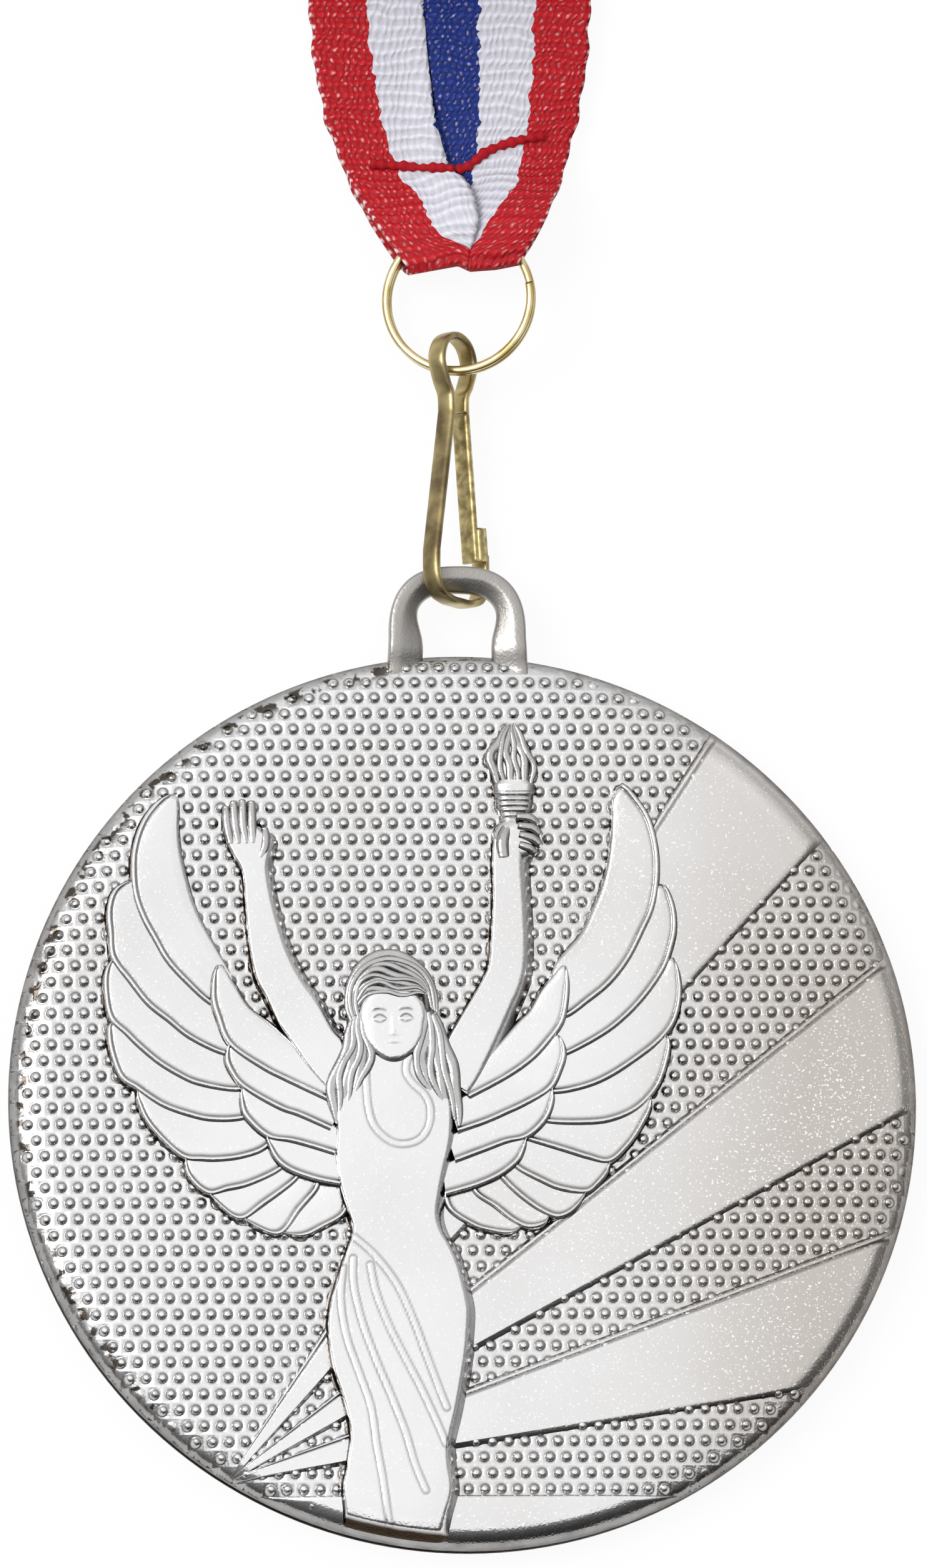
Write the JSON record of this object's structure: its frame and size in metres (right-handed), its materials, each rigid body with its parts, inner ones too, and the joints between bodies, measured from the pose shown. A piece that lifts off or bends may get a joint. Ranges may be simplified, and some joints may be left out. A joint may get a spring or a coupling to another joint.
{
  "type": "medal",
  "caption": "Round cast medal with a pearled field, rays and a winged torch bearer in relief, hung by a sprung hook and a split ring from a striped neck ribbon folded in a paper band.",
  "frame": {"origin": "centre of the disc on its flat back face, which lies on the table", "axes": "+Z out of the relief face, +Y from the disc towards the bail, hook, ring and ribbon, +X to the right of the face"},
  "size_m": [0.07, 0.1887, 0.0117],
  "materials": {
    "plated_casting": "satin silver plate on a zinc casting, darkened in the hollows",
    "aged_brass": "dull aged brass plate",
    "ring_brass": "pale brass wire",
    "ribbon": "woven ribbon in equal red, white, blue, white and red stripes",
    "thread": "red sewing thread",
    "paper": "white paper"
  },
  "bodies": {
    "medal": {"medal": "plated_casting"},
    "hook": {"hook_body": "aged_brass"},
    "gate": {"hook_gate": "aged_brass"},
    "ring": {"split_ring": "ring_brass"},
    "ribbon": {"ribbon_loop": "ribbon", "seam_thread": "thread", "ribbon_hank": "ribbon", "hank_band": "paper"}
  },
  "joints": [
    {"name": "bail_swing", "type": "hinge", "parent": "medal", "child": "hook", "pos_m": [0, 0.0408, 0.0032], "axis": [1, 0, 0], "range_deg": [-110, 110]},
    {"name": "gate_flex", "type": "hinge", "parent": "hook", "child": "gate", "pos_m": [0.00058, 0.05404, 0.00251], "axis": [-0.766, 0, -0.6428], "range_deg": [0, 12], "stiffness_Nm_per_rad": 0.05},
    {"name": "ring_swing", "type": "hinge", "parent": "hook", "child": "ring", "pos_m": [0.00055, 0.0574, 0.0032], "axis": [0.9703, 0, 0.2419], "range_deg": [-90, 90]},
    {"name": "ribbon_swing", "type": "hinge", "parent": "ring", "child": "ribbon", "pos_m": [0, 0.0708, 0.0028], "axis": [1, 0, 0], "range_deg": [-70, 70], "deforming": ["ribbon_loop"]}
  ]
}
